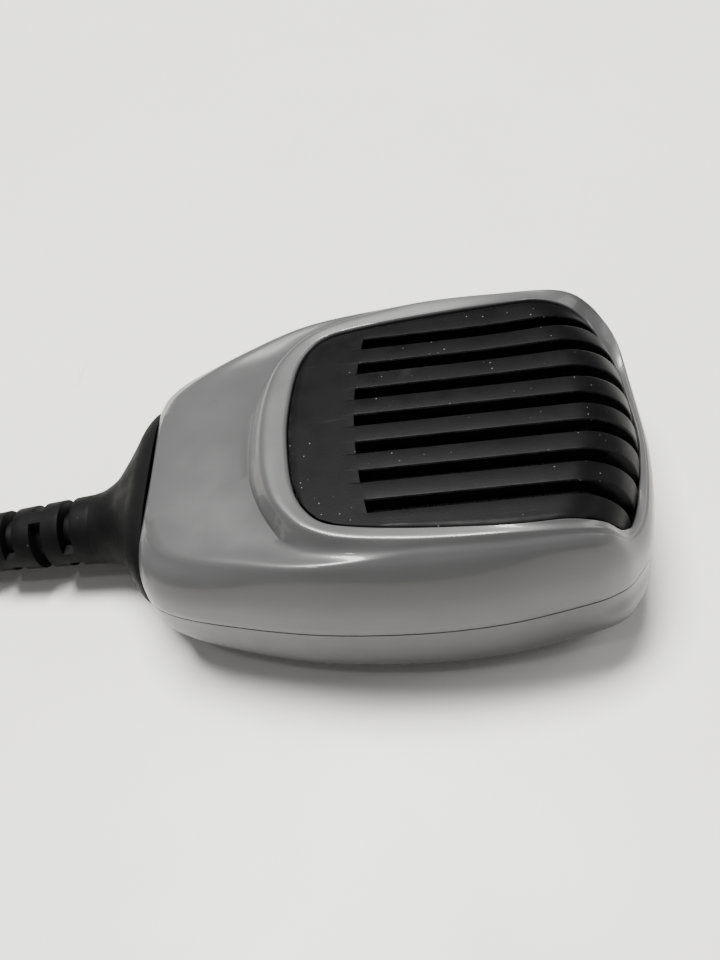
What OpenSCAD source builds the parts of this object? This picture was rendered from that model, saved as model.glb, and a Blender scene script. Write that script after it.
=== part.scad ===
// Hand microphone for a mobile radio: two-part case, grille, side transmit lever and curly cord.
// Frame: +X to the head, -X to the cord, +Y the lever's side, +Z out of the grille.
// The origin is on the flat back, on the surface that the microphone lies on.

/* [Case] */
// Length of the case, from the boot end to the head
case_l = 77; // [72:0.5:82]
// Greatest width of the case, at its seam
case_w = 57.2; // [54:0.2:61]
// Height of the raised frame round the grille
case_h = 29; // [28:0.2:31]
// Height of the seam between the front and rear halves
seam_z = 14; // [13.5:0.1:14.5]

/* [Grille] */
// Distance from one slot to the next
slot_pitch = 5.4; // [5:0.1:5.6]
// Width of one slot
slot_w = 2.1; // [1.6:0.1:2.4]
// Number of slots
slot_count = 7; // [5:2:7]
// Thickness of the grille panel
grille_t = 2.4; // [2:0.1:2.6]

/* [Transmit lever] */
// Height of the lever's face
lever_h = 13; // [11:0.5:13]
// Radius of the pivot pin
pin_r = 1; // [0.8:0.1:1]
// Radial clearance between the lever and its pin
pin_gap = 0.05; // [0.02:0.01:0.08]

/* [Cord] */
// Diameter of the cable
cable_d = 4.8; // [4.4:0.1:5]
// Outer diameter of the curly stretch
curl_d = 14; // [13:0.5:15]

/* [Hidden] */
$fn = 48;
eps = 0.01;

case_grey = [0.66, 0.66, 0.66];
rubber_black = [0.06, 0.06, 0.06];
plastic_black = [0.1, 0.1, 0.11];
board_green = [0.05, 0.3, 0.16];
metal = [0.75, 0.75, 0.77];

// The loops below are drawn for a case of 77 x 57.2 x 29 and stretched to the sizes above.
k = [case_l / 77, case_w / 57.2, case_h / 29];
half_l = case_l / 2;
half_w = case_w / 2;

// Half loops, each from the middle of the boot end round the +Y side to the middle of the head.
seam_loop = [[-38.5, 0, 14], [-38.4, 9, 14], [-38, 15, 14], [-36.6, 19.3, 14], [-33, 22.1, 14],
    [-25, 24.9, 14], [-12, 27.5, 14], [2, 28.6, 14], [14, 28.3, 14], [25, 26.3, 14],
    [32, 23.4, 14], [36.6, 15.5, 14], [38.5, 0, 14]];
side_loop = [[-38.3, 0, 18.5], [-38.2, 9, 18.3], [-37.7, 14.6, 18], [-36.1, 18.6, 18],
    [-32.5, 21.5, 18.5], [-24.8, 24.4, 19.5], [-12, 27, 20], [2, 28, 20], [14, 27.7, 20],
    [25.6, 25.6, 19.5], [32.4, 22.4, 18.2], [36.7, 14.6, 17.2], [38.4, 0, 16.8]];
shoulder_loop = [[-37.8, 0, 21.6], [-37.6, 8.5, 21.4], [-36.6, 13.3, 20.9], [-34.8, 16.8, 20.8],
    [-31, 19.6, 21.3], [-24, 22.6, 22.6], [-12, 25.6, 24.3], [2, 26.4, 24.6], [14, 26.2, 24.6],
    [25.4, 24.6, 23.8], [32, 21.6, 20.8], [36.4, 13.8, 18.8], [38.1, 0, 18.1]];
foot_loop = [[-23, 0, 25.3], [-22.5, 7, 25.3], [-21, 12, 25.2], [-19, 16, 25], [-16.5, 19.2, 25.1],
    [-12, 22.3, 25.9], [-6, 24, 26.8], [4, 24.5, 27.2], [14, 24.5, 27.2], [24.8, 23.6, 26.4],
    [31.6, 20.9, 22.6], [36, 13, 20.2], [37.8, 0, 19.3]];
crest_loop = [[-18.3, 0, 28.9], [-17.8, 7, 28.9], [-16.6, 12.5, 28.8], [-14.2, 16.6, 28.8],
    [-10.5, 19.8, 28.8], [-4.5, 21.5, 28.9], [2.5, 22.6, 29], [11, 23.2, 29], [18, 23.2, 28.8],
    [25.2, 22.4, 27.6], [31.3, 20, 23.6], [35.6, 12.4, 21.3], [37.4, 0, 20.6]];
opening_xy = [[-15.2, 0], [-14.7, 6.5], [-13.8, 12], [-12.2, 16], [-9, 18.8], [-3, 20], [4, 20.9],
    [12, 21.5], [19, 21.6], [25, 21], [30.4, 18.9], [34.5, 11.6], [36.3, 0]];
roof_loop_in = [[-22, 0, 23.2], [-21.6, 6.6, 23.2], [-20.2, 11.4, 23.1], [-18.2, 15.2, 23],
    [-15.8, 18.2, 23], [-11.4, 21.2, 23.7], [-5.6, 22.9, 24.5], [4, 23.4, 24.8], [14, 23.4, 24.8],
    [24, 22.3, 23.4], [30.6, 19.2, 19.4], [34.6, 11.9, 17.2], [36.1, 0, 16.4]];
shoulder_loop_in = [[-35.8, 0, 19.6], [-35.6, 8, 19.4], [-34.7, 12.4, 18.9], [-33, 15.6, 18.8],
    [-29.6, 18, 19.3], [-23.2, 20.8, 20.6], [-11.6, 23.6, 22.2], [2, 24.3, 22.5],
    [14, 24.1, 22.5], [24.3, 22.6, 21.5], [30.8, 19.6, 18.4], [34.8, 12.4, 16.2], [36.3, 0, 15.5]];
side_loop_in = [[-36.2, 0, 17.5], [-36.1, 8.6, 17.4], [-35.6, 13.8, 17], [-34.2, 17.2, 17],
    [-30.8, 19.7, 17.4], [-23.6, 22.4, 18.4], [-11.5, 25, 19], [2, 25.9, 19], [13.6, 25.6, 19],
    [24.6, 23.6, 18.4], [31, 20.4, 16.8], [35, 13.2, 15.2], [36.4, 0, 14.8]];

wall = 2;
points_per_gap = 4;

// The grille is flat up to roll_x, and rolls over to head_z at the head, sooner at its sides.
face_z = 28.2;
roll_x = 27;
roll_l = 9.6;
head_z = 18.4;
roll_bow = 0.0125;

// The back is flat from the head to flat_x, and curves up towards the boot.
flat_x = -8;
back_curve = 0.0062;

screw_posts = [[-27, -14], [-27, 14], [23, -21.4], [23, 21.4]];
board_posts = [[-16, -14], [-16, 14], [24, -15], [24, 15]];
board_z = 9.5;
board_t = 1.2;

pivot = [-11, 22.4];
lever_x = [-14, 18];
lever_z = [seam_z - lever_h / 2, seam_z + lever_h / 2];
lever_proud = 0.3;
lever_t = 2;
window_gap = 0.4;
switch_at = [14, 12, 14];

clamp_x = [-34, -29];
clamp_w = 18;
clamp_h = 3.6;
clamp_gap = 0.3;
clamp_screw_y = 6.4;

hanger_x = 15;
dish_r = 10.5;
dish_depth = 4.5;
dish_wall = 1.8;

neck_z = 12;
neck_r = 4.1;
relief_x = -39;
relief_z = 9;
relief_tilt = 3.31;
relief_root = 12;
relief_end = 38.2;
cable_r = cable_d / 2;

capsule_at = [20, 0];
capsule_z = 17;

lead_route = [[-34, 0, 12], [-38, 0, 12], [-41, 0, 11.5], [-44, 0, 10.6], [-47, 0, 9.5],
    [-50, 0, 8.7], [-54, 0, 8.2], [-62, 0, 7.7], [-70, 0, 7.2], [-77, 0, 6.8], [-81, 0.6, 6.4],
    [-85.5, 3.4, 6], [-89.5, 8.5, 5.9], [-93, 13.4, 6.2], [-97, 17, 6.7], [-101, 18, 7]];
// The curly stretch lies folded in three runs, lifted a little where the tie passes under them.
curl_route = [[-101, 18, 7], [-112, 18, 7.1], [-130, 18, 7.6], [-148, 18, 7.9], [-166, 18, 7.6],
    [-179, 18, 7.1], [-186, 18, 7.03], [-192.4, 15.4, 7.02], [-195, 9, 7.02], [-192.4, 2.6, 7.02],
    [-186, 0, 7.03], [-179, 0, 7.1], [-166, 0, 7.6], [-148, 0, 7.9], [-130, 0, 7.6],
    [-116, 0, 7.1], [-109, 0, 7.03], [-102.6, -2.6, 7.02], [-100, -9, 7.02],
    [-102.6, -15.4, 7.02], [-109, -18, 7.03], [-116, -18, 7.1], [-130, -18, 7.6],
    [-148, -18, 7.9], [-166, -18, 7.6], [-180, -18, 7.1], [-188, -18, 7]];
tail_route = [[-188, -18, 7], [-192, -18, 6.4], [-197, -18, 5.2], [-202, -18, 4.3],
    [-208, -18, 3.9], [-214, -18, 3.8], [-220, -18, 3.8]];
tie_x = -148;
tie_w = 8;
tie_t = 0.8;
tie_in = [50.4, 14.15];
tie_corner = 6.6;
plug_at = [-214, -18];
plug_size = [11.7, 21.5, 6.6];
latch_y = -19.5;

// ---------- functions ----------
function spline(a, b, c, d, t) =
    0.5 * (2 * b + (c - a) * t + (2 * a - 5 * b + 4 * c - d) * t * t
    + (3 * b - a - 3 * c + d) * t * t * t);
function mirrored(h) =
    concat(h, [for (i = [len(h) - 2:-1:1]) [for (j = [0:len(h[i]) - 1]) j == 1 ? -h[i][j] : h[i][j]]]);
function smooth_ring(p) =
    let (n = len(p))
    [for (i = [0:n - 1], s = [0:points_per_gap - 1])
        spline(p[(i + n - 1) % n], p[i], p[(i + 1) % n], p[(i + 2) % n], s / points_per_gap)];
function smooth_route(p, steps) =
    let (n = len(p) - 1)
    concat([for (i = [0:n - 1], s = [0:steps - 1])
        spline(p[max(i - 1, 0)], p[i], p[i + 1], p[min(i + 2, n)], s / steps)], [p[n]]);
function sized(loop) = [for (p = loop) [p.x * k.x, p.y * k.y, p.z * k.z]];
function ring(half_loop) = smooth_ring(mirrored(sized(half_loop)));
function at_z(loop, z) = [for (p = loop) [p.x, p.y, z]];
function inset(loop, d) = [for (p = loop) [p.x * (1 - d / half_l), p.y * (1 - d / half_w), p.z]];
function shrunk(loop, s) = [for (p = loop) [hanger_x + (p.x - hanger_x) * s, p.y * s, p.z]];
function back_z(x) = x > flat_x ? 0 : back_curve * pow(flat_x - x, 2);
function over_back(loop, up) = [for (p = loop) [p.x, p.y, back_z(p.x) + up]];
function face_z_at(x) =
    x < roll_x ? face_z : head_z + (face_z - head_z) * sqrt(max(0, 1 - pow((x - roll_x) / roll_l, 2)));
function bowed(p) = p.x + roll_bow * p.y * p.y;
function on_face(half_xy, up) =
    [for (p = half_xy) [p.x, p.y, face_z_at(min(bowed(p), roll_x + roll_l - 0.3)) + up]];
function unit(v) = v / norm(v);
function tangent(path, i) = unit(path[min(i + 1, len(path) - 1)] - path[max(i - 1, 0)]);
function tube_ring(c, t, r, sides, up) =
    let (n1 = unit(cross(t, up)), n2 = cross(n1, t))
    [for (j = [0:sides - 1]) let (a = 360 * j / sides - 90) c + r * (cos(a) * n1 + sin(a) * n2)];

// Skins rings of equal length. A tunnel joins its last ring to its first; others have flat ends.
module skin(rings, tunnel = false) {
    n = len(rings[0]);
    m = len(rings);
    last = tunnel ? m - 1 : m - 2;
    sides = [for (i = [0:last], j = [0:n - 1])
        let (a = i * n + j, b = i * n + (j + 1) % n, i2 = (i + 1) % m)
        let (c = i2 * n + (j + 1) % n, d = i2 * n + j)
        each [[a, b, c], [a, c, d]]];
    ends = tunnel ? [] : [[for (j = [n - 1:-1:0]) j], [for (j = [0:n - 1]) (m - 1) * n + j]];
    polyhedron(points = [for (r = rings) each r], faces = concat(sides, ends), convexity = 8);
}

module tube(path, r, sides = 10, up = [0, 0, 1]) {
    skin([for (i = [0:len(path) - 1]) tube_ring(path[i], tangent(path, i), r, sides, up)]);
}

module along_y(at, r, h) {
    translate(at) rotate([-90, 0, 0]) cylinder(r = r, h = h);
}

// A machine screw standing head down: head of radius head_r, then the shank above it.
module screw(head_r, head_h, shank_r, shank_h) {
    difference() {
        cylinder(r = head_r, h = head_h);
        for (turn = [0, 90]) rotate([0, 0, turn])
            translate([-head_r * 0.6, -0.25, -eps]) cube([head_r * 1.2, 0.5, head_h * 0.5]);
    }
    translate([0, 0, head_h - eps]) cylinder(r = shank_r, h = shank_h + eps);
}

// ---------- case ----------
module lever_window() {
    translate([lever_x[0] - window_gap, pivot.y + 1.2, lever_z[0] - window_gap])
        cube([lever_x[1] - lever_x[0] + 2 * window_gap, 12, lever_h + 2 * window_gap]);
}

module neck_hole() {
    translate([-half_l - 2, 0, neck_z]) rotate([0, 90, 0]) cylinder(r = neck_r + 0.1, h = 4.6);
}

module front_shell() {
    skin([
        at_z(ring(seam_loop), seam_z),
        ring(side_loop),
        ring(shoulder_loop),
        ring(foot_loop),
        ring(crest_loop),
        smooth_ring(mirrored(on_face(opening_xy, 0.3))),
        smooth_ring(mirrored(on_face(opening_xy, -grille_t - 0.3))),
        ring(roof_loop_in),
        ring(shoulder_loop_in),
        ring(side_loop_in),
        at_z(inset(ring(seam_loop), wall), seam_z)
    ], tunnel = true);
}

module front_case() {
    boss_top = 21.5;
    pilot_depth = 6.5;
    color(case_grey) difference() {
        union() {
            front_shell();
            for (p = screw_posts) translate([p.x, p.y, seam_z]) cylinder(r = 2.5, h = boss_top - seam_z);
            translate([pivot.x, pivot.y, lever_z[1] + 0.4]) cylinder(r = 2.4, h = 3.4);
        }
        neck_hole();
        for (p = screw_posts) translate([p.x, p.y, seam_z - 1]) cylinder(r = 1.2, h = pilot_depth + 1);
        translate([pivot.x, pivot.y, lever_z[1] - 1]) cylinder(r = pin_r, h = 3.2);
        lever_window();
    }
}

module rear_shell() {
    outline = at_z(ring(seam_loop), seam_z);
    skin([
        at_z(shrunk(outline, 0.4), 0),
        over_back(shrunk(outline, 0.7), 0),
        over_back(inset(outline, 6.6), 0),
        over_back(inset(outline, 4.4), 0.3),
        over_back(inset(outline, 2.2), 1.6),
        over_back(inset(outline, 0.7), 4),
        at_z(outline, seam_z - 2.5),
        outline,
        at_z(inset(outline, wall), seam_z),
        at_z(inset(outline, wall + 0.1), seam_z - 2.5),
        over_back(inset(outline, 3.2), wall + 2.4),
        over_back(inset(outline, 6.2), wall + 0.4),
        over_back(shrunk(outline, 0.7), wall),
        at_z(shrunk(outline, 0.4), wall)
    ]);
}

module clamp_holes(r, z) {
    for (side = [-1, 1])
        translate([(clamp_x[0] + clamp_x[1]) / 2, side * clamp_screw_y, z]) cylinder(r = r, h = 8);
}

module rear_case() {
    seat_x = 2;
    color(case_grey) difference() {
        union() {
            rear_shell();
            for (p = screw_posts) translate([p.x, p.y, back_z(p.x) + 1])
                cylinder(r = 2.9, h = seam_z - 1 - back_z(p.x));
            for (p = board_posts) translate([p.x, p.y, back_z(p.x) + 1])
                cylinder(r = 2.4, h = board_z - 1 - back_z(p.x));
            translate([hanger_x, 0, 1]) cylinder(r = dish_r + dish_wall, h = dish_depth + dish_wall - 1);
            translate([pivot.x, pivot.y, 1.5]) cylinder(r = 2.4, h = lever_z[0] - 1.9);
            translate([seat_x - 4, 18.8, 1]) cube([8, 1.2, 17]);
            translate([clamp_x[0], -clamp_w / 2, 5])
                cube([clamp_x[1] - clamp_x[0], clamp_w, neck_z - 5]);
        }
        for (p = screw_posts) translate([p.x, p.y, -1]) cylinder(r = 1.5, h = seam_z + 2);
        for (p = screw_posts) translate([p.x, p.y, -1]) cylinder(r = 2.4, h = back_z(p.x) + 4);
        for (p = board_posts) translate([p.x, p.y, board_z - 6]) cylinder(r = 1, h = 7);
        translate([hanger_x, 0, -1]) cylinder(r = dish_r, h = dish_depth + 1);
        translate([hanger_x, 0, dish_depth - 1]) cylinder(r = 1.6, h = 4);
        translate([pivot.x, pivot.y, 4]) cylinder(r = pin_r, h = 6);
        lever_window();
        neck_hole();
        translate([clamp_x[0] - 1, 0, neck_z]) rotate([0, 90, 0]) cylinder(r = cable_r, h = 8);
        clamp_holes(1, neck_z - 4);
    }
}

// A layer of the grille, from depth d0 to depth d1 under its face.
module face_layer(d0, d1) {
    tail_x = -30;
    steps = 14;
    half_y = 24;
    roll_end = roll_l - 0.3;
    turns = [for (i = [0:steps]) sin(90 * i / steps)];
    line = concat([[tail_x, 0]], [for (t = turns) [roll_x + roll_end * t, t]]);
    under = [for (i = [len(line) - 1:-1:0]) line[i]];
    profile = concat([for (q = line) [q[0] - d0 * q[1], face_z_at(q[0]) - d0]],
        [for (q = under) [q[0] - d1 * q[1], face_z_at(q[0]) - d1]]);
    skin([for (y = [half_y:-3:-half_y])
        [for (q = profile) [q.x - (q.x > tail_x ? roll_bow * y * y : 0), y, q.y]]]);
}

module grille_outline(shrink, h) {
    mid_y = 21;
    flat_ring = smooth_ring(mirrored(opening_xy));
    linear_extrude(height = h)
        polygon([for (p = flat_ring) [p.x - sign(p.x) * shrink, p.y * (1 - shrink / mid_y)]]);
}

module grille() {
    edge_gap = 0.35;
    tall = 40;
    slot_floor = 18.5;
    slot_y0 = -slot_pitch * (slot_count - 1) / 2;
    slot_tail = -5;
    slot_bow = 0.0056;
    color(plastic_black) difference() {
        intersection() {
            grille_outline(edge_gap, tall);
            face_layer(0, grille_t);
        }
        for (i = [0:slot_count - 1])
            let (y = slot_y0 + i * slot_pitch, x = slot_tail + slot_bow * y * y)
            translate([x, y - slot_w / 2, slot_floor]) cube([tall, slot_w, tall]);
    }
}

module grille_screen() {
    edge_gap = 1.2;
    gap = 0.1;
    thickness = 0.6;
    tall = 40;
    color(rubber_black) intersection() {
        grille_outline(edge_gap, tall);
        face_layer(grille_t + gap, grille_t + gap + thickness);
    }
}

module case_screws() {
    color(metal) for (p = screw_posts)
        translate([p.x, p.y, back_z(p.x) + 1]) screw(2.2, 1.9, 1.25, seam_z + 2.4 - back_z(p.x));
}

// ---------- sound and board ----------
module mic_capsule() {
    color(metal) translate([capsule_at.x, capsule_at.y, capsule_z]) difference() {
        cylinder(r = 4.85, h = 6.5);
        translate([0, 0, 6.2]) cylinder(r = 3.6, h = 1);
        for (a = [0:60:300]) rotate([0, 0, a]) translate([1.8, 0, 5.4]) cylinder(r = 0.4, h = 2);
    }
}

module capsule_holder() {
    color(rubber_black) translate([capsule_at.x, capsule_at.y, board_z + board_t]) difference() {
        cylinder(r = 6.6, h = 13.3);
        translate([0, 0, capsule_z - board_z - board_t]) cylinder(r = 4.9, h = 20);
        translate([0, 0, -1]) cylinder(r = 3.4, h = 20);
    }
}

module capsule_leads() {
    color(metal) for (y = [-1.27, 1.27])
        translate([capsule_at.x, capsule_at.y + y, board_z + board_t])
            cylinder(r = 0.3, h = capsule_z - board_z - board_t);
}

module circuit_board() {
    color(board_green) difference() {
        translate([-20, -18, board_z]) cube([48, 36, board_t]);
        for (p = board_posts) translate([p.x, p.y, board_z - 1]) cylinder(r = 1.3, h = 4);
    }
}

module board_parts() {
    top = board_z + board_t;
    color([0.12, 0.12, 0.13]) {
        translate([-8, -8, top]) cube([7, 7, 1.4]);
        translate([2, -15, top]) cube([5, 4, 1.2]);
        for (i = [0:4]) translate([-6 + 3 * i, 5, top]) cube([1.6, 0.8, 0.6]);
        for (i = [0:3]) translate([4 + 3 * i, -9.5, top]) cube([0.8, 1.6, 0.6]);
        translate([4, 0, top]) cylinder(r = 2.5, h = 5.5);
        translate([14, -12.5, top]) cylinder(r = 2, h = 5);
    }
}

module board_screws() {
    color(metal) for (p = board_posts)
        translate([p.x, p.y, board_z + board_t + 1.4]) rotate([180, 0, 0]) screw(2.1, 1.4, 1, 6);
}

// ---------- transmit lever ----------
// Points of the case's side between two stations, moved out by d.
function side_arc(x0, x1, d) =
    [for (p = at_z(ring(seam_loop), 0)) if (p.y > 0 && p.x > x0 && p.x < x1) [p.x, p.y + d]];
function side_y(x) = lookup(x, [for (p = ring(seam_loop)) if (p.y > 20) [p.x, p.y]]);

module ptt_lever() {
    pad_y = 21.9;
    out = concat([[lever_x[0], side_y(lever_x[0]) + 0.1]],
        side_arc(lever_x[0] + 2, lever_x[1] - 2, lever_proud),
        [[lever_x[1], side_y(lever_x[1]) + 0.1]]);
    in = [for (i = [len(out) - 1:-1:0]) [out[i].x, min(out[i].y, half_w + 0.1) - lever_t]];
    color(plastic_black) difference() {
        union() {
            translate([0, 0, lever_z[0]]) linear_extrude(height = lever_h) polygon(concat(out, in));
            translate([pivot.x, pivot.y, lever_z[0]]) cylinder(r = 2.2, h = lever_h);
            translate([pivot.x - 1.5, pivot.y + 1.6, lever_z[0]]) cube([3, 3.2, lever_h]);
            translate([switch_at.x - 1, pad_y, seam_z - 3])
                cube([2, side_y(switch_at.x) - lever_t / 2 - pad_y, 6]);
        }
        translate([pivot.x, pivot.y, lever_z[0] - 1]) cylinder(r = pin_r + pin_gap, h = lever_h + 2);
    }
}

module ptt_pivot_pin() {
    color(metal) translate([pivot.x, pivot.y, 4.2]) cylinder(r = pin_r, h = lever_z[1] + 2 - 4.2);
}

module ptt_spring() {
    turns = 5;
    coil_r = 2;
    wire_r = 0.25;
    y0 = 20.3;
    y1 = 26.3;
    steps = turns * 12;
    path = [for (i = [0:steps]) let (a = 360 * turns * i / steps)
        [2 + coil_r * cos(a), y0 + (y1 - y0) * i / steps, seam_z + coil_r * sin(a)]];
    color(metal) tube(path, wire_r, 6, [0, 1, 0]);
}

module switch_body() {
    color([0.15, 0.15, 0.16]) difference() {
        translate([switch_at.x - 6.4, switch_at.y, board_z + board_t]) cube([12.8, 6, 6.5]);
        along_y([switch_at.x, switch_at.y + 2.2, switch_at.z], 1.25, 8);
    }
}

module switch_plunger() {
    color([0.7, 0.2, 0.15]) along_y([switch_at.x, switch_at.y + 3.8, switch_at.z], 1.2, 5.9);
}

// ---------- cord entry ----------
module wire_header() {
    pins = 8;
    color([0.85, 0.83, 0.76]) difference() {
        translate([-19, -9, board_z + board_t]) cube([6, 18, 5]);
        for (i = [0:pins - 1])
            translate([-20, -7.7 + 2.2 * i - 0.5, board_z + board_t + 1.9]) cube([4.2, 1, 1.2]);
    }
}

module cord_wires() {
    pins = 8;
    z1 = board_z + board_t + 2.5;
    color([0.7, 0.3, 0.1]) for (i = [0:pins - 1])
        let (y1 = -7.7 + 2.2 * i, y0 = (i - (pins - 1) / 2) * 0.55)
        tube(smooth_route([[-33.9, y0, neck_z], [-29, y0, neck_z], [-24, (y0 + y1) / 2, z1 + 1],
            [-20.5, y1, z1], [-17, y1, z1]], 2), 0.25, 8);
}

module cord_clamp() {
    color(plastic_black) difference() {
        translate([clamp_x[0], -clamp_w / 2, neck_z + clamp_gap])
            cube([clamp_x[1] - clamp_x[0], clamp_w, clamp_h]);
        translate([clamp_x[0] - 1, 0, neck_z]) rotate([0, 90, 0]) cylinder(r = cable_r, h = 8);
        clamp_holes(1.2, neck_z - 1);
    }
}

module clamp_screws() {
    head_h = 1.2;
    top = neck_z + clamp_gap + clamp_h + head_h;
    color(metal) for (side = [-1, 1])
        translate([(clamp_x[0] + clamp_x[1]) / 2, side * clamp_screw_y, top])
            rotate([180, 0, 0]) screw(2, head_h, 1, 7);
}

module boot_flare() {
    // Each ring: distance out from the case, half width, half height, height of its centre, squareness.
    rings = [[0, 17.4, 8.9, 12.9, 3.2], [1.4, 15.6, 8.3, 12.4, 3], [3.2, 12.6, 7.6, 11.6, 2.7],
        [5.4, 9.8, 7, 10.6, 2.4], [8, 7.6, 6.4, 9.6, 2.2], [10.6, 6.4, 6, 8.7, 2], [12.4, 5.9, 5.9, 8.3, 2]];
    n = 40;
    skin([for (r = rings) [for (j = [0:n - 1]) let (a = 360 * j / n, c = cos(a), s = sin(a))
        [-half_l - 0.05 - r[0], r[1] * sign(c) * pow(abs(c), 2 / r[4]),
            r[3] + r[2] * sign(s) * pow(abs(s), 2 / r[4])]]]);
}

// Turns a shape built along +Z so that it runs out along the strain relief.
module along_relief() {
    translate([relief_x, 0, relief_z]) rotate([0, -90 - relief_tilt, 0]) children();
}

module cord_boot() {
    period = 5.2;
    cuts = 4;
    cut_w = 2;
    first_cut = 3.2;
    core = 3.3;
    // The flange stands inside the case and keeps the boot in its neck.
    flange_w = 12;
    flange_t = 1.2;
    flange_gap = 0.4;
    flange_z = [11.8, 16.8];
    color(rubber_black) difference() {
        union() {
            boot_flare();
            translate([-half_l + wall + flange_gap, -flange_w / 2, flange_z[0]])
                cube([flange_t, flange_w, flange_z[1] - flange_z[0]]);
            translate([-half_l - 1, 0, neck_z]) rotate([0, 90, 0]) cylinder(r = neck_r, h = wall + 1.5);
            along_relief() translate([0, 0, relief_root - 0.5])
                cylinder(r1 = 5.85, r2 = 4.6, h = relief_end - relief_root + 0.5);
        }
        along_relief() for (i = [0:cuts - 1], side = [-1, 1])
            translate([0, 0, relief_root + first_cut + i * period])
            rotate([0, 0, i % 2 == 0 ? 0 : 90])
            translate([side > 0 ? core : -core - 5, -8, 0]) cube([5, 16, cut_w]);
        tube(lead_route, cable_r + 0.06, 10);
    }
}

// ---------- cord and plug ----------
module cord_lead() {
    color(rubber_black) tube(lead_route, cable_r, 10);
}

module cord_curl() {
    color(rubber_black) tube(smooth_route(curl_route, 2), curl_d / 2, 12);
}

module cord_tail() {
    color(rubber_black) tube(tail_route, cable_r, 10);
}

// Round the hank, so that it stays folded.
module cord_tie() {
    color(plastic_black) translate([tie_x - tie_w / 2, 0, tie_t]) rotate([90, 0, 90])
        linear_extrude(height = tie_w) difference() {
            offset(r = tie_t) tie_opening();
            tie_opening();
        }
}

module tie_opening() {
    translate([-tie_in.x / 2, 0]) offset(r = tie_corner) offset(delta = -tie_corner) square(tie_in);
}

// The plug is drawn pointing along -Y from its own origin, and turned to point along -X.
module at_plug() {
    translate([plug_at.x, plug_at.y, 0]) rotate([0, 0, -90]) children();
}

module plug_boot() {
    color(rubber_black) difference() {
        at_plug() translate([0, 8.5, 3.95]) rotate([90, 0, 0]) cylinder(r1 = 3.2, r2 = 3.9, h = 8.5);
        tube(tail_route, cable_r + 0.05, 10);
    }
}

module plug_body() {
    contacts = 8;
    color([0.85, 0.87, 0.88]) difference() {
        at_plug() union() {
            translate([-plug_size.x / 2, -plug_size.y, 0]) cube(plug_size);
            translate([-3, -plug_size.y, plug_size.z - 0.5]) cube([6, 1.1, 1.9]);
        }
        tube(tail_route, cable_r + 0.05, 10);
        at_plug() for (i = [0:contacts - 1])
            translate([-3.57 + 1.02 * i - 0.3, -plug_size.y - 1, -1]) cube([0.6, 7, 3.4]);
    }
}

module plug_contacts() {
    contacts = 8;
    color([0.85, 0.65, 0.25]) at_plug() for (i = [0:contacts - 1])
        translate([-3.57 + 1.02 * i - 0.17, -plug_size.y + 0.3, 0.5]) cube([0.34, 5, 1.9]);
}

module plug_latch() {
    tilt = 10;
    color([0.85, 0.87, 0.88]) at_plug() translate([0, latch_y, plug_size.z + 0.9])
        rotate([tilt, 0, 0]) {
            translate([-2.9, 0, 0]) rotate([0, 90, 0]) cylinder(r = 0.6, h = 5.8);
            translate([-2.9, 0, -0.6]) cube([5.8, 7, 1.2]);
            translate([-1.7, 6, -0.6]) cube([3.4, 9, 1.2]);
        }
}

// ---------- hanger ----------
module hanger_knob() {
    color(metal) translate([hanger_x, 0, 0.3]) {
        cylinder(r = 5, h = 1.6);
        cylinder(r = 2.6, h = dish_depth - 0.3);
        cylinder(r = 1.5, h = dish_depth + dish_wall + 1.9);
    }
}

module hanger_nut() {
    color(metal) translate([hanger_x, 0, dish_depth + dish_wall]) difference() {
        cylinder(r = 3.2, h = 2, $fn = 6);
        translate([0, 0, -1]) cylinder(r = 1.5, h = 4);
    }
}

front_case();
rear_case();
grille();
grille_screen();
mic_capsule();
capsule_holder();
capsule_leads();
circuit_board();
board_parts();
board_screws();
ptt_lever();
ptt_pivot_pin();
ptt_spring();
switch_body();
switch_plunger();
wire_header();
cord_wires();
cord_clamp();
clamp_screws();
case_screws();
hanger_knob();
hanger_nut();
cord_boot();
cord_lead();
cord_curl();
cord_tail();
cord_tie();
plug_boot();
plug_body();
plug_contacts();
plug_latch();
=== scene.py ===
import math

import bmesh
import bpy
import numpy as np
from mathutils import Matrix, Vector


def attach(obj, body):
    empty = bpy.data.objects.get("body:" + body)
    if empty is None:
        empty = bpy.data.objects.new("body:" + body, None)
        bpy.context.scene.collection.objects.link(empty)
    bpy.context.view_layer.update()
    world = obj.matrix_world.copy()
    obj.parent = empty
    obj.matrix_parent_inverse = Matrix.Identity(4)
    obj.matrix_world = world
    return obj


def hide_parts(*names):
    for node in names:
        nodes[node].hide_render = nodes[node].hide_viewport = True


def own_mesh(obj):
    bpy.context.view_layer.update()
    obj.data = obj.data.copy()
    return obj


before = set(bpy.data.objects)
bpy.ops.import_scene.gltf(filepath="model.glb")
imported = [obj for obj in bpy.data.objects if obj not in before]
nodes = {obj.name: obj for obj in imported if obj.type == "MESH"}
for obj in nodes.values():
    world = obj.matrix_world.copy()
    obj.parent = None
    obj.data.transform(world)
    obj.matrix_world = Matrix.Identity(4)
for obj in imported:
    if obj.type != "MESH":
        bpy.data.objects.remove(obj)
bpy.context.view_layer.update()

# Shapes are drawn in millimetres, and make_object turns them into metres. The microphone lies on
# its back: its head is at +X, the cord leaves at -X, the lever is on the +Y side, and +Z is up.
MM = 0.001
CREASE = 50         # an edge that turns by more degrees than this is shaded sharp


# ------------------------------------------------------------------ curves and lofts
def unit(v):
    return v / np.linalg.norm(v)


def tangent(path, i):
    return unit(path[min(i + 1, len(path) - 1)] - path[max(i - 1, 0)])


def spline(a, b, c, d, t):
    a, b, c, d = (np.asarray(p, float) for p in (a, b, c, d))
    return 0.5 * (2 * b + (c - a) * t + (2 * a - 5 * b + 4 * c - d) * t * t
                  + (3 * b - a - 3 * c + d) * t ** 3)


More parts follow.
